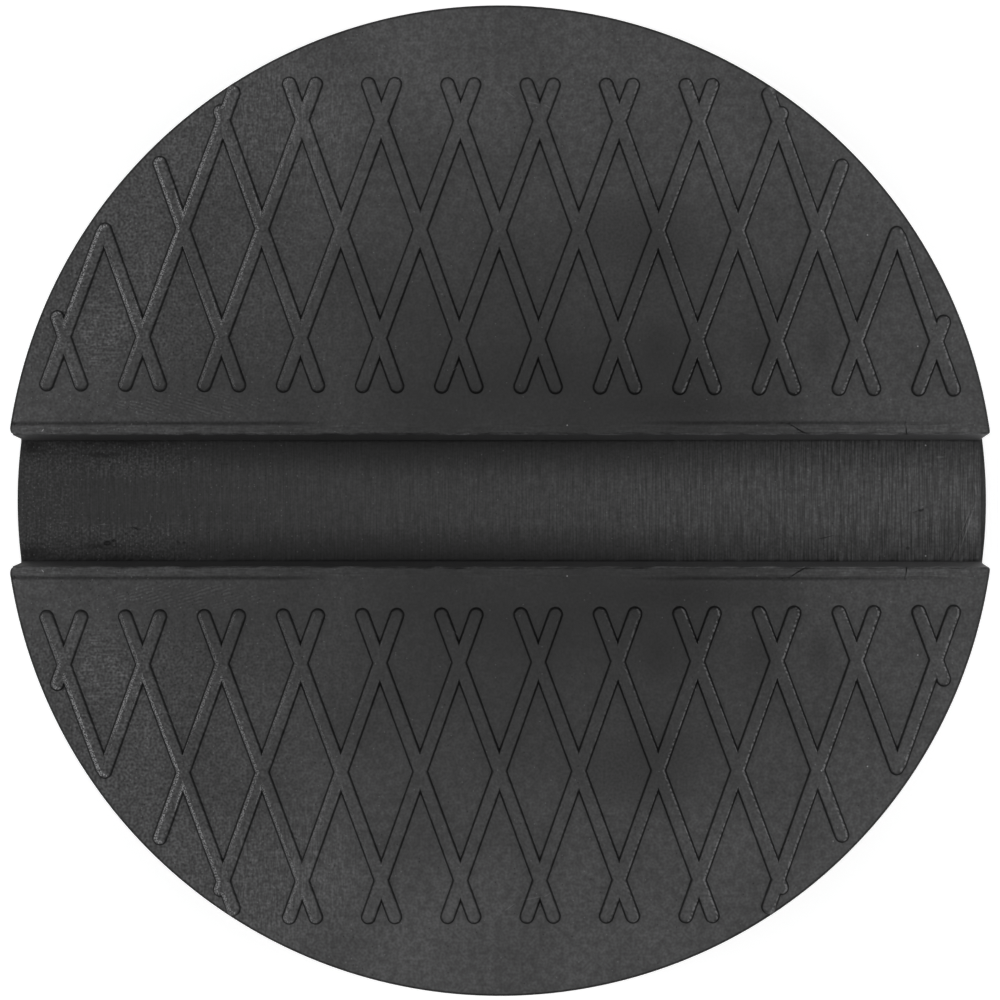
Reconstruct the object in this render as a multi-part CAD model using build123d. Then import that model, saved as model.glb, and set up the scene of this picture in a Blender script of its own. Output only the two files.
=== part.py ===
from build123d import *
from math import cos, radians, sin, sqrt, tan
import os

# Slotted rubber jack pad: a round block of moulded rubber that goes between a trolley jack's saddle and
# the underside of a car. A slot across its top takes the upright seam under the car's sill. Raised ribs,
# crossed in a diamond pattern, give grip on the two lands beside the slot. The pad is one moulding.
#
# Millimetres, +Z up, origin at the middle of the flat underside, +X along the slot.

# Block
pad_diameter = 125.0
pad_height = 25.0  # underside to the crests of the ribs
base_bevel = 0.8  # all round the bottom edge
edge_bevel = 0.35  # round the top rim and along the slot's lips
mouth_radius = 0.5  # round each end of the slot, where it comes out at the side

# Slot
slot_floor_width = 15.6
slot_depth = 10.0  # below the lands
wall_draft = 3.0  # degrees that each wall leans outwards, so that the mould lets go
floor_radius = 0.5  # where a wall meets the floor

# Ribs: straight, flat-topped and round-ended, in two families that lean either way from the slot
rib_width = 1.8
rib_height = 0.6
rib_pitch = 10.0  # from one crossing to the next along the slot
rib_lean = 20.0  # degrees from square across the slot
plain_strip = 5.15  # bare land between the slot's lip and the near tips
first_crossing = 6.9  # near tips to the first row of crossings
field_depth = 39.85  # near tips to far tips, where the rim leaves room
tip_clearance = 1.25  # from the rim to the tip of a rib that it cuts short
long_tip_clearance = 0.2  # the same for a rib that leans inwards past its last crossing
pattern_turn = 0.38  # degrees that each land's ribs are turned as a whole, nearer the slot at +X

# Joint lines that the bar in the mould leaves on the lands: shallow vees that fade out along the slot
joint_line_offset = 1.45  # from the slot's lip
joint_line_width = 0.4
joint_line_depth = 0.14
left_line_fades = 47.0  # in from the rim
right_line_deepest = 34.5
right_line_fades = 51.0
right_line_leaves = 12.0  # out past the rim, so the line is still faintly there at the edge

# Worked out from these
pad_radius = pad_diameter / 2
land_height = pad_height - rib_height
floor_height = land_height - slot_depth
lip = slot_floor_width / 2 + slot_depth * tan(radians(wall_draft))
tip_radius = rib_width / 2
near_tips = lip + plain_strip + tip_radius  # centres of the rounded ends
far_tips = lip + plain_strip + field_depth - tip_radius
first_row = lip + plain_strip + first_crossing
reach = pad_radius - tip_clearance - tip_radius
long_reach = pad_radius - long_tip_clearance - tip_radius


def block():
    """The round block with the slot across it and its edges broken."""
    body = Cylinder(pad_radius, land_height, align=(Align.CENTER, Align.CENTER, Align.MIN))
    body -= extrude(slot_section(), pad_radius, both=True)
    side = body.faces().filter_by(GeomType.CYLINDER).sort_by(SortBy.AREA)[-1]
    above_floor = side.edges().filter_by_position(Axis.Z, floor_height, land_height, (True, False))
    body = fillet(above_floor, mouth_radius)
    body = chamfer(body.edges().group_by(Axis.Z)[-1], edge_bevel)
    return chamfer(body.edges().group_by(Axis.Z)[0], base_bevel)


def slot_section():
    """The slot seen from its end, with rounded corners at the floor."""
    half_floor = slot_floor_width / 2
    corners = Polygon(
        (-half_floor, floor_height),
        (half_floor, floor_height),
        (lip, land_height),
        (-lip, land_height),
        align=None,
    )
    return Plane.YZ * fillet(corners.vertices().group_by(Axis.Y)[0], floor_radius)


def rib_outlines():
    """Every rib on one land, as seen from above."""
    fit_near = sqrt(reach**2 - near_tips**2)
    splay = (first_row - near_tips) * tan(radians(rib_lean))
    columns = int((fit_near - splay) / rib_pitch + 0.5)
    outlines = Sketch()
    for column in range(columns):
        crossing = (column + 0.5) * rib_pitch
        outermost = column == columns - 1
        for side in (-1, 1):
            outlines += rib_outline(side * crossing, side, reach)
            outlines += rib_outline(side * crossing, -side, reach if outermost else long_reach)
    return outlines


def rib_outline(crossing, side, limit):
    """One rib, through its first crossing, leaning to that side until the far tips or the limit."""
    along = Vector(side * sin(radians(rib_lean)), cos(radians(rib_lean)))
    through = Vector(crossing, first_row)
    near = through + along * ((near_tips - first_row) / along.Y)
    far = through + along * ((far_tips - first_row) / along.Y)
    if far.length > limit:
        middle = near.dot(along)
        far = near + along * (sqrt(middle**2 - near.length**2 + limit**2) - middle)
    return SlotArc(Line(near, far), rib_width)


def ribs():
    """The ribs of one land, rooted in it as deep as the bevel that their tips overhang."""
    root = land_height - edge_bevel
    turned = Rot(0, 0, -pattern_turn) * rib_outlines()
    return extrude(Pos(0, 0, root) * turned, pad_height - root)


def joint_line(deepest, faded):
    """A vee beside the slot, deepest at one X and risen to the surface at the other."""
    offset = lip + joint_line_offset
    half_width = joint_line_width / 2
    vee = Polygon(
        (offset - half_width, land_height),
        (offset, land_height - joint_line_depth),
        (offset + half_width, land_height),
        align=None,
    )
    return loft([Plane.YZ.offset(deepest) * vee, Vertex(faded, offset, land_height)])


def joint_lines():
    """The marks on one land: one that runs out at the left end, one that is deepest partway along."""
    left = joint_line(-pad_radius, left_line_fades - pad_radius)
    deepest = pad_radius - right_line_deepest
    right = joint_line(deepest, pad_radius - right_line_fades)
    right += joint_line(deepest, pad_radius + right_line_leaves)
    return left + right


def both_lands(feature):
    return feature + mirror(feature, about=Plane.XZ)


def jack_pad():
    return block() + both_lands(ribs()) - both_lands(joint_lines())


os.makedirs("parts", exist_ok=True)
export_step(jack_pad(), "parts/jack_pad.step")
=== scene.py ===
from functools import reduce
from math import atan, atan2, cos, pi, radians, sin, sqrt, tan
from random import Random
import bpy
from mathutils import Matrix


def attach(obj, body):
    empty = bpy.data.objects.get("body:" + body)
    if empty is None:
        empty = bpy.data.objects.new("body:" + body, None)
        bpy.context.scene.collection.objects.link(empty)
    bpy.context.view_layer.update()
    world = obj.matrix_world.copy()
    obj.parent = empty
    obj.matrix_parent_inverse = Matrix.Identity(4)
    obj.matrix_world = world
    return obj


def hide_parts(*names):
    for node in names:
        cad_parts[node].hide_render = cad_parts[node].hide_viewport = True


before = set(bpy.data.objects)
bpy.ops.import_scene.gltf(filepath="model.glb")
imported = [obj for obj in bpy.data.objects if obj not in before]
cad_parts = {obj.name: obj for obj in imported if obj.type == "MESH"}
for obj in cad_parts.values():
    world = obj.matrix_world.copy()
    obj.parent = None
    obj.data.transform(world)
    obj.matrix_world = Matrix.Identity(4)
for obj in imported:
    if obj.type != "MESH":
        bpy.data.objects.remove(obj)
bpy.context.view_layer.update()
from types import SimpleNamespace

import bmesh
import bpy
from mathutils import Vector

# The pad is modelled in millimetres and brought to metres when its mesh is finished
MM = 0.001

# Block, as in the part
PAD_RADIUS = 62.5
PAD_HEIGHT = 25.0
RIB_HEIGHT = 0.6
SLOT_DEPTH = 10.0
FLOOR_HALF = 7.8
FLOOR_CORNER = 0.5
WALL_DRAFT = radians(3.0)
LAND = PAD_HEIGHT - RIB_HEIGHT
FLOOR = LAND - SLOT_DEPTH
LIP = FLOOR_HALF + SLOT_DEPTH * tan(WALL_DRAFT)

# Making the block
ROUND_SIDES = 288
CLEAR = 2.0  # how far a cutter stands out of what it cuts
SLACK = 0.02  # heights and places that are the same agree to within this

# The slot's lips waver by up to this much, apart from their ends
LIP_WAVER = 0.13
LIP_CUTS = 83
TRUE_ENDS = 3.0

# Rounding of the block's edges
BASE_ROUND = 0.8
RIM_ROUND = 0.35
LEFT_MOUTH_ROUND = 1.0
RIGHT_MOUTH_ROUND = 0.45
LEFT_SILL_ROUND = 0.25
RIGHT_SILL_ROUND = 0.5
MOUTH_ZONE = 0.3  # how near the block's side and the slot's lips a mouth's edges lie

# Joint lines beside the slot
SEAM_FROM_LIP = 1.45
SEAM_WIDTH = 0.7
SEAM_DEPTH = 0.18

# How uneven cuts and hollows are, as a share of their half width
GROOVE_WAVER = 0.3
DENT_WAVER = 0.15

# Ribs, as in the part
RIB_PITCH = 10.0
RIB_LEAN = radians(20.0)
PATTERN_TURN = radians(0.38)
COLUMNS = 6
RIB_END = 0.9  # from the centre of a rib's round end to its tip
PLAIN_STRIP = 5.15
FIRST_CROSSING = 6.9
FIELD_DEPTH = 39.85
TIP_CLEARANCE = 1.25
LONG_TIP_CLEARANCE = 0.2
NEAR_TIPS = LIP + PLAIN_STRIP + RIB_END
FAR_TIPS = LIP + PLAIN_STRIP + FIELD_DEPTH - RIB_END
FIRST_ROW = LIP + PLAIN_STRIP + FIRST_CROSSING
REACH = PAD_RADIUS - TIP_CLEARANCE - RIB_END
LONG_REACH = PAD_RADIUS - LONG_TIP_CLEARANCE - RIB_END

# A rib's section: how deep it is rooted, how wide it is half across at its foot, and the steps in and up
# from there, over the flank and round the shoulder to the crest
RIB_ROOT = LAND - 0.5
RIB_START = LAND - 0.03
RIB_FOOT = 1.0
RIB_STEPS = ((0.03, 0.03), (0.03, 0.06), (0.19, 0.39), (0.03, 0.05), (0.05, 0.04), (0.07, 0.03),
             (0.18, 0.022), (0.20, 0.008))

# Finishing the mesh
SAME_PLACE = 0.001
FLAT = radians(0.05)
SHARP = radians(55.0)


# Modelling by hand

def add(primitive, **settings):
    """A new primitive, with nothing else selected."""
    bpy.ops.object.select_all(action="DESELECT")
    primitive(**settings)
    bpy.ops.object.transform_apply()
    return bpy.context.object


def settle(piece, stretch, place, turn=0.0):
    """Stretches a piece, turns it and moves it to its place, and puts all that into its mesh."""
    only(piece)
    piece.scale, piece.rotation_euler.z, piece.location = stretch, turn, place
    bpy.ops.object.transform_apply()


def edit():
    """Goes into edit mode, with everything selected."""
    bpy.ops.object.mode_set(mode="EDIT")
    bpy.ops.mesh.select_all(action="SELECT")


def pick(kind, wanted):
    """Selects the vertices, edges or faces of the edited mesh whose corners all pass the test."""
    bpy.ops.mesh.select_mode(type=kind)
    bpy.ops.mesh.select_all(action="DESELECT")
    mesh = bmesh.from_edit_mesh(bpy.context.object.data)
    items = {"VERT": mesh.verts, "EDGE": mesh.edges, "FACE": mesh.faces}[kind]
    for item in items:
        corners = [item.co] if kind == "VERT" else [corner.co for corner in item.verts]
        item.select_set(all(wanted(corner) for corner in corners))
    mesh.select_flush_mode()
    bmesh.update_edit_mesh(bpy.context.object.data)


def pick_edges_along_x(length):
    """Selects the edges that reach further than this along X."""
    bpy.ops.mesh.select_mode(type="EDGE")
    bpy.ops.mesh.select_all(action="DESELECT")
    mesh = bmesh.from_edit_mesh(bpy.context.object.data)
    for edge in mesh.edges:
        start, end = edge.verts
        edge.select_set(abs(start.co.x - end.co.x) > length)
    bmesh.update_edit_mesh(bpy.context.object.data)


def leave():
    """Goes back to object mode."""
    bpy.ops.object.mode_set(mode="OBJECT")


def only(piece):
    """Selects this piece alone."""
    bpy.ops.object.select_all(action="DESELECT")
    bpy.context.view_layer.objects.active = piece
    piece.select_set(True)


def modify(piece, kind, **settings):
    """Puts a modifier on the piece and applies it."""
    only(piece)
    modifier = piece.modifiers.new(kind.lower(), kind)
    for name, value in settings.items():
        setattr(modifier, name, value)
    bpy.ops.object.modifier_apply(modifier=modifier.name)


def combine(piece, tool, operation):
    """Cuts the tool out of the piece, or joins it on, and clears the tool away."""
    modify(piece, "BOOLEAN", operation=operation, object=tool, solver="EXACT")
    bpy.data.objects.remove(tool)


def close(a, b, slack=SLACK):
    return abs(a - b) < slack


# The block

def slot_cutter():
    """The slot's shape: drafted walls, rounded floor corners and slightly uneven lips."""
    length, depth = 2 * PAD_RADIUS + 2 * CLEAR, LAND + CLEAR - FLOOR
    cutter = add(bpy.ops.mesh.primitive_cube_add, size=1)
    settle(cutter, (length, 2 * FLOOR_HALF, depth), (0, 0, FLOOR + depth / 2))
    edit()
    pick("FACE", lambda at: at.z > LAND)
    bpy.ops.transform.resize(value=(1, 1 + depth * tan(WALL_DRAFT) / FLOOR_HALF, 1))
    for side in (-1, 1):
        pick("EDGE", lambda at: close(at.z, FLOOR) and at.y * side > 0)
        bpy.ops.mesh.bevel(offset=FLOOR_CORNER, segments=5, affect="EDGES")
    pick_edges_along_x(length / 2)
    bpy.ops.mesh.subdivide(number_cuts=LIP_CUTS)
    pick("VERT", lambda at: at.z > LAND and abs(at.x) < PAD_RADIUS - TRUE_ENDS)
    bpy.ops.transform.vertex_random(offset=LIP_WAVER, uniform=0, normal=0, seed=7)
    leave()
    return cutter


def at_mouth(at):
    """Whether a corner of the block is where an end of the slot comes out at the side."""
    return (at.xy.length > PAD_RADIUS - MOUTH_ZONE and abs(at.y) < LIP + MOUTH_ZONE
            and at.z > FLOOR - SLACK)


def edge_width(start, end):
    """How far an edge of the block is rounded back, or 0 where it isn't."""
    def both(test):
        return test(start) and test(end)

    if both(lambda at: close(at.z, 0)):
        return BASE_ROUND
    if both(lambda at: close(at.z, LAND)):
        return RIM_ROUND
    if not both(at_mouth):
        return 0
    left = start.x < 0
    if both(lambda at: close(at.z, FLOOR)):
        return LEFT_SILL_ROUND if left else RIGHT_SILL_ROUND
    mouth, sill = (LEFT_MOUTH_ROUND, LEFT_SILL_ROUND) if left else (RIGHT_MOUTH_ROUND, RIGHT_SILL_ROUND)
    up = min(1, (min(start.z, end.z) - FLOOR) / (2 * FLOOR_CORNER))
    return sill + (mouth - sill) * up


def make_block():
    """The block with its slot cut and its edges rounded."""
    block = add(bpy.ops.mesh.primitive_cylinder_add, vertices=ROUND_SIDES, radius=PAD_RADIUS, depth=LAND)
    settle(block, (1, 1, 1), (0, 0, LAND / 2))
    combine(block, slot_cutter(), "DIFFERENCE")
    only(block)
    edit()
    mesh = bmesh.from_edit_mesh(block.data)
    weight = mesh.edges.layers.float.new("bevel_weight_edge")
    for edge in mesh.edges:
        edge[weight] = edge_width(edge.verts[0].co, edge.verts[1].co)
    bmesh.update_edit_mesh(block.data)
    leave()
    modify(block, "BEVEL", limit_method="WEIGHT", width=1.0, segments=4, use_clamp_overlap=False)
    return block


# Marks pressed or cut into the block

waver = Random(3)


def groove(start, end, level, width, depth, bends=0):
    """A cutter for a vee that is deepest at its start, wavers, and has run out at its end."""
    cutter = add(bpy.ops.mesh.primitive_cone_add, vertices=4, radius1=1, radius2=0, depth=1,
                 rotation=(0, pi / 2, 0))
    edit()
    if bends:
        pick_edges_along_x(0.5)
        bpy.ops.mesh.subdivide(number_cuts=bends)
    spacing = 1 / (bends + 1)
    for bend in range(bends):
        along = (bend + 1) * spacing - 0.5
        pick("VERT", lambda at: close(at.x, along, spacing / 3))
        bpy.ops.transform.translate(value=(0, waver.uniform(-GROOVE_WAVER, GROOVE_WAVER), 0))
    leave()
    run = Vector(end) - Vector(start)
    middle = Vector(start) + run / 2
    settle(cutter, (run.length, width / 2, depth), (*middle, level), atan2(run.y, run.x))
    return cutter


def dent(middle, level, size, turn=0.0):
    """A cutter for a small hollow, uneven all round."""
    cutter = add(bpy.ops.mesh.primitive_ico_sphere_add, subdivisions=2, radius=1)
    edit()
    bpy.ops.transform.vertex_random(offset=DENT_WAVER, uniform=0, normal=0, seed=5)
    leave()
    settle(cutter, size, (*middle, level), radians(turn))
    return cutter


def land_marks():
    """The joint lines, and what has been nicked, folded and torn along the lip, on the first land."""
    seam = LIP + SEAM_FROM_LIP
    yield groove((-PAD_RADIUS - CLEAR, seam), (-15.5, seam), LAND, SEAM_WIDTH, SEAM_DEPTH, 24)
    yield groove((28.0, seam), (11.5, seam), LAND, SEAM_WIDTH, SEAM_DEPTH, 8)
    yield groove((28.0, seam), (74.5, seam), LAND, SEAM_WIDTH, SEAM_DEPTH, 24)
    yield dent((8.6, LIP - 0.05), LAND, (0.55, 0.22, 0.3))
    yield groove((39.3, LIP - 0.2), (35.6, 10.3), LAND, 0.3, 0.3, 6)
    yield groove((51.5, LIP - 0.3), (51.2, 9.7), LAND, 0.32, 0.4, 4)
    yield groove((51.1, 9.5), (51.5, 10.6), LAND, 0.2, 0.15)
    yield groove((51.5, 10.5), (51.0, 11.8), LAND, 0.16, 0.1)


def floor_marks():
    """Hollows in the slot's floor towards its left end, and cuts towards its right end."""
    yield dent((-50.8, -5.5), FLOOR, (0.5, 0.28, 0.16), 10)
    yield dent((-49.9, -5.2), FLOOR, (0.3, 0.2, 0.14), -30)
    yield dent((-47.3, -3.6), FLOOR, (0.45, 0.16, 0.14), -20)
    yield dent((-48.3, -4.3), FLOOR, (0.2, 0.14, 0.1))
    yield dent((-41.6, -5.4), FLOOR, (0.2, 0.14, 0.1))
    yield dent((54.1, -1.2), FLOOR, (0.4, 0.14, 0.12), 12)
    yield groove((57.9, -7.6), (61.3, 0.6), FLOOR, 0.3, 0.14)
    yield groove((61.1, -0.6), (60.7, 5.8), FLOOR, 0.22, 0.08)
    yield groove((41.0, -4.9), (43.6, -4.5), FLOOR, 0.16, 0.1)
    yield groove((52.5, -1.8), (57.5, 0.2), FLOOR, 0.12, 0.06)


def mirrored(cutter):
    """The cutter with its mirror image on the other side of the slot."""
    only(cutter)
    edit()
    bpy.ops.mesh.duplicate()
    bpy.ops.transform.resize(value=(1, -1, 1), center_override=(0, 0, 0))
    bpy.ops.mesh.normals_make_consistent(inside=False)
    leave()
    return cutter


# The ribs

def model_rib(length):
    """One rib from the origin along +Y: a round-ended strip, stepped up and in to its crest."""
    rib = add(bpy.ops.mesh.primitive_plane_add, size=1)
    settle(rib, (2 * RIB_FOOT, length + 2 * RIB_FOOT, 1), (0, length / 2, RIB_ROOT))
    edit()
    bpy.ops.mesh.bevel(offset=RIB_FOOT, segments=6, affect="VERTICES")
    bpy.ops.mesh.select_all(action="SELECT")
    bpy.ops.mesh.remove_doubles(threshold=0.01)
    bpy.ops.mesh.select_all(action="SELECT")
    bpy.ops.mesh.extrude_region_move(TRANSFORM_OT_translate={"value": (0, 0, RIB_START - RIB_ROOT)})
    for inward, upward in RIB_STEPS:
        bpy.ops.mesh.inset(thickness=inward, depth=upward)
    bpy.ops.mesh.select_all(action="SELECT")
    bpy.ops.mesh.normals_make_consistent(inside=False)
    leave()
    return rib


def rib_ends(crossing, side, limit):
    """Centres of the two round ends of the rib through this crossing that leans to this side."""
    along = Vector((side * sin(RIB_LEAN), cos(RIB_LEAN)))
    through = Vector((crossing, FIRST_ROW))
    first = through + along * ((NEAR_TIPS - FIRST_ROW) / along.y)
    last = through + along * ((FAR_TIPS - FIRST_ROW) / along.y)
    if last.length > limit:
        middle = first.dot(along)
        last = first + along * (sqrt(middle**2 - first.length**2 + limit**2) - middle)
    return first, last


def place_rib(pattern, length, first, last):
    """A copy of the rib, its far end pulled in to the length wanted, turned and moved to its place."""
    only(pattern)
    bpy.ops.object.duplicate()
    rib = bpy.context.object
    edit()
    pick("VERT", lambda at: at.y > length / 2)
    bpy.ops.transform.translate(value=(0, (last - first).length - length, 0))
    leave()
    settle(rib, (1, 1, 1), (*first, 0), atan2(first.x - last.x, last.y - first.y))
    return rib


def make_ribs(lean):
    """Ribs that lean one way, and their mirror images on the other land."""
    length = (FAR_TIPS - NEAR_TIPS) / cos(RIB_LEAN)
    pattern = model_rib(length)
    ribs = []
    for column in range(COLUMNS):
        for side in (-1, 1):
            limit = REACH if side == lean or column == COLUMNS - 1 else LONG_REACH
            crossing = side * (column + 0.5) * RIB_PITCH
            ribs.append(place_rib(pattern, length, *rib_ends(crossing, lean, limit)))
    bpy.data.objects.remove(pattern)
    bpy.ops.object.select_all(action="DESELECT")
    for rib in ribs:
        rib.select_set(True)
    bpy.context.view_layer.objects.active = ribs[0]
    bpy.ops.object.join()
    edit()
    bpy.ops.transform.rotate(value=PATTERN_TURN, orient_axis="Z", center_override=(0, 0, 0))
    leave()
    return mirrored(bpy.context.object)


pad = make_block()
for mark in land_marks():
    combine(pad, mirrored(mark), "DIFFERENCE")
for mark in floor_marks():
    combine(pad, mark, "DIFFERENCE")
for lean in (-1, 1):
    combine(pad, make_ribs(lean), "UNION")
pad.name = pad.data.name = "moulded_pad"
only(pad)
edit()
bpy.ops.mesh.remove_doubles(threshold=SAME_PLACE)
bpy.ops.mesh.dissolve_limited(angle_limit=FLAT)
leave()
settle(pad, (MM, MM, MM), (0, 0, 0))
bpy.ops.object.shade_smooth_by_angle(angle=SHARP)
modify(pad, "WEIGHTED_NORMAL", keep_sharp=True, weight=100)

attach(pad, "root")
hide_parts("jack_pad")


# Rubber

class Nodes:
    """Builds a material's nodes. Each method returns the socket that carries its result."""

    def __init__(self, name):
        self.material = bpy.data.materials.new(name)
        self.material.use_nodes = True
        self.tree = self.material.node_tree
        self.shader = self.tree.nodes["Principled BSDF"]

    def make(self, kind, sockets, output=0, **settings):
        """Adds a node with these inputs and settings, and gives one of its outputs."""
        node = self.tree.nodes.new(kind)
        for name, value in settings.items():
            setattr(node, name, value)
        for name, value in sockets.items():
            self.feed(node, name, value)
        return node.outputs[output]

    def feed(self, node, name, value):
        """Links a socket to a node's input, or sets the input to a plain value."""
        if isinstance(value, bpy.types.NodeSocket):
            self.tree.links.new(value, node.inputs[name])
        else:
            node.inputs[name].default_value = value

    def maths(self, operation, *values):
        return self.make("ShaderNodeMath", dict(enumerate(values)), operation=operation)

    def plus(self, *values):
        return reduce(lambda a, b: self.maths("ADD", a, b), values)

    def times(self, *values):
        return reduce(lambda a, b: self.maths("MULTIPLY", a, b), values)

    def any_of(self, *masks):
        return reduce(lambda a, b: self.maths("MAXIMUM", a, b), masks)

    def parts(self, vector):
        return self.make("ShaderNodeSeparateXYZ", {0: vector}).node.outputs

    def join(self, x, y, z=0.0):
        return self.make("ShaderNodeCombineXYZ", {"X": x, "Y": y, "Z": z})

    def length(self, vector):
        return self.make("ShaderNodeVectorMath", {0: vector}, output="Value", operation="LENGTH")

    def between(self, value, start, end, low=0.0, high=1.0, smooth=True):
        """Goes from low to high as the value goes from start to end, and stays there."""
        return self.make("ShaderNodeMapRange", {"Value": value, "From Min": start, "From Max": end,
                         "To Min": low, "To Max": high},
                         interpolation_type="SMOOTHSTEP" if smooth else "LINEAR")

    def where(self, mask, inside, outside=1.0):
        """One value where the mask is 1, the other where it is 0."""
        return self.make("ShaderNodeMix", {"Factor": mask, "A": outside, "B": inside})

    def noise(self, place, scale, detail=0.0, roughness=0.5):
        return self.make("ShaderNodeTexNoise", {"Vector": place, "Scale": scale, "Detail": detail,
                         "Roughness": roughness}, noise_dimensions="2D")

    def swing(self, noise, most):
        """Swings as the noise does, between this much below 1 and this much above it."""
        return self.between(noise, 0.3, 0.7, 1 - most, 1 + most, smooth=False)

    def dots(self, place, spacing, radius, share):
        """Round dots at random places, in this share of the cells of a grid with this spacing."""
        distance = self.make("ShaderNodeTexVoronoi", {"Vector": place, "Scale": 1 / spacing},
                             voronoi_dimensions="2D")
        draw = self.make("ShaderNodeSeparateColor", {"Color": distance.node.outputs["Color"]})
        return self.times(self.between(distance, radius / spacing, 0.3 * radius / spacing),
                          self.maths("LESS_THAN", draw, share))

    def along(self, place, start, turn, unit):
        """How far a place lies from the start in the direction of the turn, in this unit."""
        way = Vector((cos(turn), sin(turn), 0)) / unit
        reach = self.make("ShaderNodeVectorMath", {0: place, 1: way}, output="Value",
                          operation="DOT_PRODUCT")
        return self.plus(reach, -way.dot((*start, 0)))

    def out_from(self, place, middle, size, turn=0.0):
        """How far out a place lies from the middle of an oval. At the oval's edge it is 1."""
        if turn:
            return self.length(self.join(self.along(place, middle, radians(turn), size[0]),
                                         self.along(place, middle, radians(turn + 90), size[1])))
        unit = Vector((1 / size[0], 1 / size[1], 0))
        start = -unit * Vector((*middle, 0))
        return self.length(self.make("ShaderNodeVectorMath", {0: place, 1: unit, 2: start},
                                     operation="MULTIPLY_ADD"))

    def ovals(self, place, listed, edge=0.3):
        """1 inside any of these soft-edged ovals, 0 outside them all. A long thin one makes a scratch."""
        distances = (self.out_from(place, *one) for one in listed)
        return self.between(reduce(lambda a, b: self.maths("MINIMUM", a, b), distances), 1.0, edge)


# Marks that stand out, each an oval: its middle, its half sizes and, where it is turned, by how many
# degrees. Those on the lands and the dirt in the slot's corners are on both sides of the slot
DARK_PATCHES = (
    ((20.3, 19.7), (3.5, 4.5)), ((33.0, 19.0), (4.0, 4.5)), ((40.5, 19.0), (2.4, 4.0)),
    ((18.0, 33.5), (13.0, 8.0)), ((24.0, 11.8), (14.0, 2.6)),
)
BRUSHED = (((-29.0, 47.0), (17.0, 13.0)),)
COMBED = (((-50.0, 22.0), (8.0, 10.0)),)
TOOLED = (((-40.0, 12.0), (13.0, 2.4)),)
HAIR_SCRATCH = (
    ((1.6, 51.2), (1.1, 0.09), -35), ((4.2, 50.1), (1.7, 0.09), -12), ((6.3, 49.6), (0.7, 0.09), -30),
)
DUST = (
    ((40.7, 33.9), (0.16, 0.16)), ((8.76, 9.5), (0.13, 0.13)), ((54.7, 7.1), (0.15, 0.15)),
    ((46.5, 33.4), (0.13, 0.13)), ((52.8, 19.4), (0.13, 0.13)), ((42.2, 42.8), (0.12, 0.08)),
    ((-57.6, 8.9), (0.3, 0.08), 50),
)
CORNER_DIRT = (
    ((-60.5, 7.0), (3.4, 1.5)), ((-50.0, 7.6), (14.0, 1.3)), ((-51.5, 5.9), (4.0, 0.6)),
)
FLOOR_SCUFFS = (
    ((-56.2, -2.8), (0.5, 0.1)), ((-51.3, -3.1), (0.7, 0.1)), ((56.5, 5.6), (0.7, 0.2)),
    ((60.1, -3.3), (4.2, 0.14), 72), ((61.1, 1.5), (1.1, 0.14), -79), ((59.5, -3.6), (3.6, 0.1), 70),
    ((-45.2, -2.2), (0.08, 0.8)),
)
# Painted shade in the floor's hollows and cuts
FLOOR_HOLES = (
    ((-50.8, -5.5), (0.6, 0.4)), ((-49.9, -5.2), (0.4, 0.25)), ((-46.9, -3.6), (0.6, 0.22), -20),
    ((-47.5, -4.6), (0.25, 0.2)), ((-40.8, -5.4), (0.25, 0.2)), ((-40.8, 5.4), (0.25, 0.18)),
    ((54.1, -1.3), (0.4, 0.2), 12), ((52.4, -6.1), (0.35, 0.3)), ((42.0, -4.7), (1.4, 0.1), 14),
)

# The rubber's grey, and its shades: how many times that grey each surface has, from its one end to the
# other, what dark marks multiply that by, and what light ones add to it
RUBBER_GREY = 0.02
# Painted light and shade: the lands run from darkest right of the middle to palest at the rim
LAND_SHADES = (0.65, 2.2)
FLOOR_SHADES = (0.65, 1.8)
# Painted light: the slot's walls are paler than the lands, more so towards +X
WALL_SHADES = (2.1, 4.6)
# Painted shade in the floor's holes and along the edges where the block turns down, and dark pits and
# dirt
HOLLOW = 0.3  # pits, holes and dirt, and the edges where the block turns down
# Painted shade on the ribs' flanks
PAINTED_FLANK_SHADE = 0.35
SEAM_DIRT = 0.45
DARK_PATCH = 0.55
# Painted shade at the ribs' tips beside the slot
NEAR_TIP = 0.6
# Painted light on a strip of the floor beside the walls at its left end
PAINTED_LIGHT_STRIP = 1.35
HAIR_LIGHT = 1.6
SCUFF_LIGHT = 2.0
SPECK_LIGHT = 2.2
DUST_LIGHT = 9.0
# Painted highlights on the ribs' shoulders
GLINT = 9.0

# Satin
ROUGHNESS = 0.55
SPECULAR = 0.28

# How many to a millimetre the patterns' marks come
SMUDGES = 0.08
MOTTLE = 0.9
GRAIN = 3.0
SPARKLE = 5.5


def find_place(n):
    """Where a point lies, in millimetres and by part of the pad."""
    metres = n.make("ShaderNodeTexCoord", {}, output="Object")
    place = n.make("ShaderNodeVectorMath", {0: metres, "Scale": 1 / MM}, operation="SCALE")
    x, y, z = n.parts(place)
    across = n.maths("ABSOLUTE", y)
    in_slot = n.between(across, LIP + 0.2, LIP)
    on_floor = n.times(in_slot, n.between(z, FLOOR + 0.8, FLOOR + 0.3),
                       n.between(z, FLOOR - 0.4, FLOOR - 0.2))
    return SimpleNamespace(
        place=place, x=x, y=y, z=z, across=across,
        mirrored=n.join(x, across, z),
        aside=n.where(n.maths("GREATER_THAN", on_floor, 0.5), y, across),  # the floor isn't mirrored
        left=n.between(x, -10.0, -50.0),
        right=n.between(x, 0.0, 55.0),
        on_top=n.between(z, LAND - 1.0, LAND - 0.4),
        on_crest=n.between(z, LAND + 0.42, LAND + 0.5),
        on_wall=n.times(in_slot, n.between(z, FLOOR + 0.3, FLOOR + 0.8)),
        on_floor=on_floor,
        corner=n.times(n.between(across, 3.0, FLOOR_HALF, smooth=False), on_floor),
    )


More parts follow.
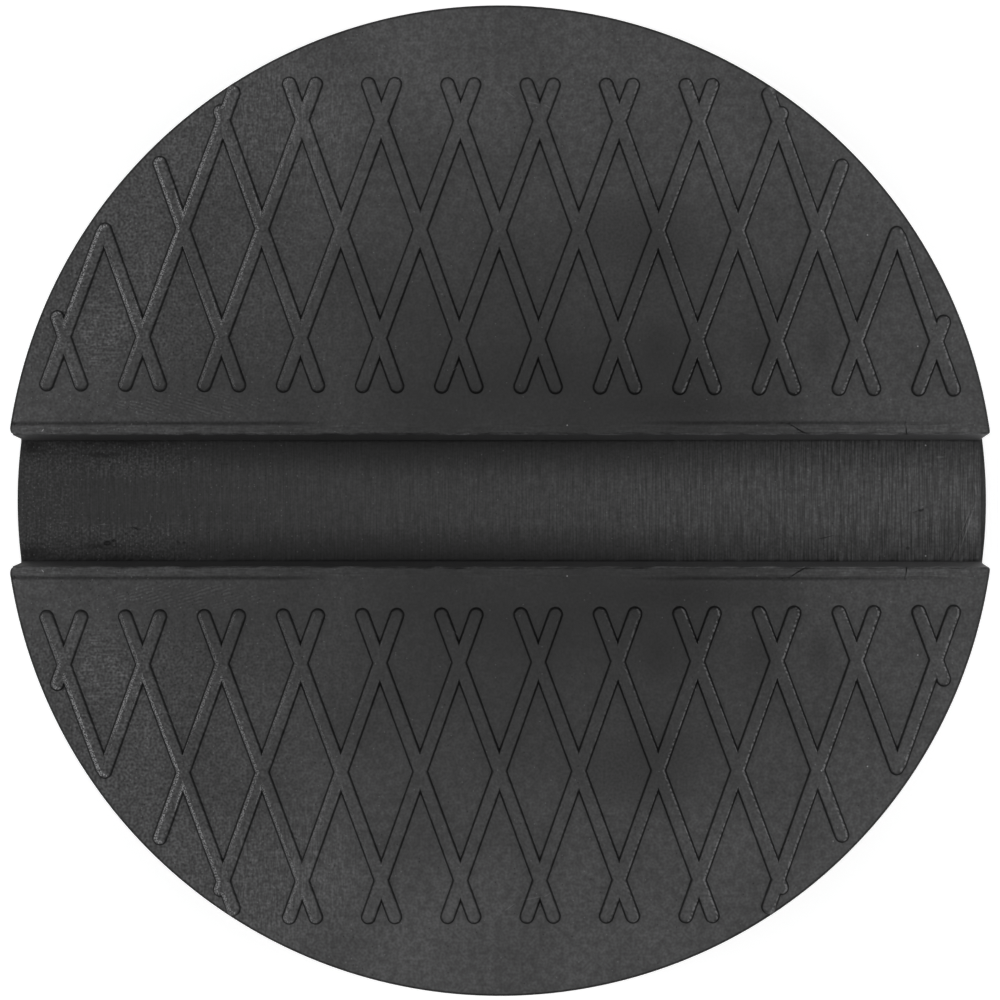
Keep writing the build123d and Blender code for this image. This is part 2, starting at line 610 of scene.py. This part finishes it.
def find_patterns(n, at):
    """Patterns that run all over the pad, pits and specks among them. The left of the floor has most."""
    drift = n.times(at.z, 0.7)  # so that no pattern runs straight down a side
    grid = n.join(n.plus(at.x, drift), n.plus(at.aside, drift))
    speckled = n.times(n.between(at.x, -36.0, -46.0), at.on_floor,
                       n.any_of(n.between(at.across, 2.0, 4.0), n.between(at.x, -52.0, -57.0)))
    pitted = n.where(speckled, 0.4, n.plus(0.05, n.times(at.left, 0.3)))
    flecked = n.where(speckled, 0.35, n.plus(0.02, n.times(at.left, 0.13)))
    return SimpleNamespace(
        smudges=n.noise(grid, SMUDGES, 1.0, 0.6),
        mottle=n.noise(grid, MOTTLE, 1.0, 0.6),
        grain=n.noise(grid, GRAIN),
        sparkle=n.noise(grid, SPARKLE),
        pits=n.dots(grid, 1.2, 0.14, pitted),
        specks=n.dots(grid, 0.7, 0.12, flecked),
        speckled=speckled,
    )


def find_seam_dirt(n, at, pattern):
    """Dirt that has settled along the joint lines, but not where they fade out."""
    from_seam = n.maths("ABSOLUTE", n.plus(at.across, -SEAM_FROM_LIP - LIP))
    return n.times(at.on_top, n.between(from_seam, 0.45, 0.0),
                   n.any_of(n.between(at.x, -18.0, -30.0), n.between(at.x, 14.0, 26.0)),
                   n.between(at.x, 60.0, 40.0, 0.2, 1.0), n.between(pattern.mottle, 0.3, 0.5, 0.7, 1.0))


def painted_rib_shade(n, at):
    """Painted shade: the ribs' flanks are darkened, and so are their tips beside the slot."""
    flank = n.times(n.between(at.z, LAND + 0.01, LAND + 0.06), n.between(at.z, LAND + 0.44, LAND + 0.36))
    from_slot = n.plus(at.across, n.times(at.x, sin(PATTERN_TURN)))
    tip = n.times(at.on_crest, n.between(from_slot, NEAR_TIPS + 0.8, NEAR_TIPS - 0.7))
    return n.times(n.where(flank, PAINTED_FLANK_SHADE), n.where(tip, NEAR_TIP))


def rib_glints(n, at, pattern):
    """Painted highlights where the ribs' shoulders catch the light: broad ones on the left, fine lines on
    the right.
    """
    facing, away, _ = n.parts(n.make("ShaderNodeTexCoord", {}, output="Normal"))
    rimward = n.plus(n.times(facing, -0.7), n.times(away, n.maths("SIGN", at.y), 0.7))
    broad = n.times(at.left, n.between(rimward, 0.004, 0.03), n.between(at.across, 17.0, 30.0, 0.35, 1.0),
                    n.between(pattern.sparkle, 0.45, 0.62))
    fine = n.times(n.between(at.x, 5.0, 30.0), n.between(facing, 0.06, 0.18),
                   n.between(pattern.grain, 0.35, 0.6), 0.4)
    return n.times(at.on_crest, n.any_of(broad, fine))


def streaks(n, at):
    """Fine streaks: across the slot's floor and the brushed lands, along the combed ones and the lips."""
    brushed = n.ovals(at.mirrored, BRUSHED)
    combed = n.any_of(n.ovals(at.mirrored, COMBED), n.between(at.across, LIP + 1.6, LIP + 1.2))
    crosswise = n.maths("GREATER_THAN", n.any_of(at.on_floor, brushed), 0.001)
    stretched = n.join(n.times(at.x, n.where(crosswise, 4.0, 0.3)),
                       n.times(at.aside, n.where(at.on_floor, 0.16, n.where(crosswise, 0.5, 3.0))))
    light_and_dark = n.between(n.noise(stretched, 1.0, 2.0, 0.75), 0.3, 0.7, 0.35, 1.8, smooth=False)
    strength = n.any_of(n.times(at.on_floor, n.plus(0.5, n.times(at.right, 0.5))),
                        n.times(at.on_top, n.any_of(brushed, combed), 0.5))
    return n.where(strength, light_and_dark)


def tool_lines(n, at, pattern):
    """Slanting lines near the slot, printed by the mould."""
    here = n.times(at.on_top, n.ovals(at.mirrored, TOOLED), n.between(pattern.mottle, 0.4, 0.6))
    slant = n.along(at.mirrored, (0, 0), radians(73.0), 0.07)
    waves = n.maths("SINE", n.plus(slant, n.times(pattern.mottle, 5.0)))
    return n.plus(1.0, n.times(here, waves, 0.42))


def land_shade(n, at, pattern, seam_dirt):
    """The lands are darkest right of the middle and paler towards the rim: painted light and shade,
    standing in for how the light falls across the pad.
    """
    rightward = n.plus(at.x, -14.0)
    from_darkest = n.length(n.join(n.any_of(n.times(rightward, 1.1), n.times(rightward, -0.65)),
                                   n.plus(n.times(at.across, 1.15), -9.2), n.plus(at.z, -LAND)))
    patch = n.times(n.ovals(at.mirrored, DARK_PATCHES, edge=0.1),
                    n.between(pattern.mottle, 0.25, 0.6, 0.4, 1.0))
    # Painted shade along the rim's edge, where the block turns down
    rim = n.between(n.length(n.join(at.x, at.y)), PAD_RADIUS - 0.4, PAD_RADIUS - 0.2)
    return n.times(n.between(from_darkest, 12.0, 52.0, *LAND_SHADES, smooth=False),
                   n.swing(pattern.smudges, 0.15), n.where(patch, DARK_PATCH),
                   n.where(seam_dirt, SEAM_DIRT), painted_rib_shade(n, at), n.where(rim, HOLLOW))


def floor_shade(n, at, pattern):
    """The slot's floor is paler to the right. Painted shade darkens its corners, most of all near the
    middle; at the left end painted light lifts them and a strip beside them.
    """
    from_middle = n.maths("ABSOLUTE", n.plus(at.x, 10.0))
    # Painted shade in the corners, lifted by painted light at the left end
    corner = n.plus(n.between(from_middle, 15.0, 55.0, 0.3, 0.75), n.times(at.left, 0.5))
    strip = n.times(at.left, n.between(at.across, 2.0, 4.0), n.between(at.across, 6.2, 5.0))
    dirt = n.times(n.ovals(at.mirrored, CORNER_DIRT, edge=0.1),
                   n.between(pattern.mottle, 0.3, 0.5, 0.3, 1.0))
    # Painted shade at the floor's ends, where it turns down
    ends = n.any_of(n.between(at.x, 61.6, 61.9), n.between(at.x, -62.25, -62.35))
    return n.times(n.between(at.x, -60.0, 62.0, *FLOOR_SHADES, smooth=False), n.where(at.corner, corner),
                   n.where(strip, PAINTED_LIGHT_STRIP), n.where(dirt, HOLLOW), n.where(ends, HOLLOW),
                   n.where(pattern.speckled, n.between(pattern.grain, 0.4, 0.65, 0.95, 1.45)),
                   # Painted shade in the floor's hollows
                   n.where(n.ovals(at.place, FLOOR_HOLES, edge=0.5), HOLLOW))


def make_rubber():
    """Black moulded rubber, marked as each place on the pad is."""
    n = Nodes("moulded_rubber")
    at = find_place(n)
    pattern = find_patterns(n, at)
    seam_dirt = find_seam_dirt(n, at, pattern)

    # Colour
    # Painted light: the slot's walls get their own paler shade, rising towards +X
    wall_shade = n.between(at.x, -20.0, 50.0, *WALL_SHADES, smooth=False)
    shade = n.where(at.on_wall, wall_shade, land_shade(n, at, pattern, seam_dirt))
    shade = n.where(at.on_floor, floor_shade(n, at, pattern), shade)
    leathery = n.times(at.left, at.on_top, n.between(at.across, 14.0, 20.0), 0.9)
    graininess = n.times(n.plus(pattern.grain, -0.5), n.plus(0.75, leathery))
    shade = n.times(shade, n.swing(pattern.mottle, 0.25), n.plus(1.0, graininess), streaks(n, at),
                    tool_lines(n, at, pattern), n.where(pattern.pits, HOLLOW))
    shade = n.plus(shade, n.times(pattern.specks, SPECK_LIGHT),
                   # Painted highlights on the ribs' shoulders
                   n.times(rib_glints(n, at, pattern), GLINT),
                   n.times(n.ovals(at.mirrored, DUST), DUST_LIGHT),
                   n.times(n.ovals(at.mirrored, HAIR_SCRATCH), at.on_top, HAIR_LIGHT),
                   n.times(n.ovals(at.place, FLOOR_SCUFFS), at.on_floor, SCUFF_LIGHT))
    grey = n.times(shade, RUBBER_GREY)
    colour = n.make("ShaderNodeCombineColor", {"Red": grey, "Green": grey, "Blue": n.times(grey, 1.02)})
    n.feed(n.shader, "Base Color", colour)

    # Finish: satin, glossier to the right, and matt where it is dirty
    unevenness = n.between(pattern.mottle, 0.3, 0.7, -0.06, 0.06, smooth=False)
    rough = n.plus(ROUGHNESS, unevenness, n.times(at.left, 0.06), n.times(at.right, -0.04),
                   n.times(at.corner, 0.2), n.times(seam_dirt, 0.25))
    n.feed(n.shader, "Roughness", rough)
    n.feed(n.shader, "Specular IOR Level", SPECULAR)

    # Relief, in millimetres
    relief = n.plus(n.times(pattern.mottle, 0.06), n.times(pattern.grain, 0.03))
    n.feed(n.shader, "Normal", n.make("ShaderNodeBump", {"Height": relief, "Distance": MM}))
    return n.material


pad.data.materials.clear()
pad.data.materials.append(make_rubber())


# Floor

FLOOR_SIZE = 4.0
FLOOR_GAP = 0.02 * MM  # so that the floor and the pad's underside don't fight
FLOOR_GREY = 0.8
SEEN_WHITE = 0.55  # what makes the floor white where the camera sees it


def make_paper():
    """A pale floor that shows white to the camera and still takes the pad's shadow."""
    n = Nodes("pale_floor")
    n.feed(n.shader, "Base Color", (FLOOR_GREY, FLOOR_GREY, FLOOR_GREY, 1))
    n.feed(n.shader, "Roughness", 0.9)
    n.feed(n.shader, "Emission Color", (1, 1, 1, 1))
    seen = n.any_of(*(n.make("ShaderNodeLightPath", {}, output=ray)
                      for ray in ("Is Camera Ray", "Is Glossy Ray", "Is Transmission Ray")))
    n.feed(n.shader, "Emission Strength", n.times(seen, SEEN_WHITE))
    return n.material


floor = add(bpy.ops.mesh.primitive_plane_add, size=FLOOR_SIZE)
floor.name = "floor"
settle(floor, (1, 1, 1), (0, 0, -FLOOR_GAP))
floor.data.materials.append(make_paper())


# Camera and light

# The camera stands a little to +X and looks all but straight down. In millimetres
CAMERA_UP = 444.0  # over the lands
CAMERA_ASIDE = 13.0
AIM_ASIDE = 0.29
AIM_ALONG = 0.08
SENSOR = 36.0
LENS = 126.84
ROOM_LIGHT = 0.12

camera = bpy.data.objects.new("camera", bpy.data.cameras.new("camera"))
bpy.context.scene.collection.objects.link(camera)
camera.location = (CAMERA_ASIDE * MM, 0, (LAND + CAMERA_UP) * MM)
camera.rotation_euler = (atan(AIM_ALONG / CAMERA_UP), atan((CAMERA_ASIDE - AIM_ASIDE) / CAMERA_UP), 0)
camera.data.sensor_width = SENSOR
camera.data.lens = LENS
bpy.context.scene.camera = camera

world = bpy.data.worlds.new("room")
world.use_nodes = True
bpy.context.scene.world = world
background = world.node_tree.nodes["Background"]
background.inputs["Color"].default_value = (1, 1, 1, 1)
background.inputs["Strength"].default_value = ROOM_LIGHT


def softbox(name, place, size, watts):
    """A soft lamp that points at the pad. Its place and size are in metres."""
    lamp = bpy.data.lights.new(name, "AREA")
    lamp.shape = "RECTANGLE"
    lamp.size, lamp.size_y = size
    lamp.energy = watts
    box = bpy.data.objects.new(name, lamp)
    box.location = place
    box.rotation_euler = box.location.to_track_quat("Z", "Y").to_euler()
    bpy.context.scene.collection.objects.link(box)


softbox("softbox_left", (-0.24, 0, 0.46), (0.2, 0.3), 0.5)
softbox("softbox_right", (0.24, 0, 0.46), (0.2, 0.3), 0.5)
softbox("softbox_far", (0, 0.24, 0.46), (0.3, 0.2), 0.5)
softbox("softbox_near", (0, -0.24, 0.46), (0.3, 0.2), 0.5)
softbox("softbox_low_left", (-0.42, 0, 0.31), (0.12, 0.3), 0.42)
softbox("softbox_low_right", (0.42, 0, 0.31), (0.12, 0.3), 0.42)

bpy.context.scene.view_settings.view_transform = "Standard"
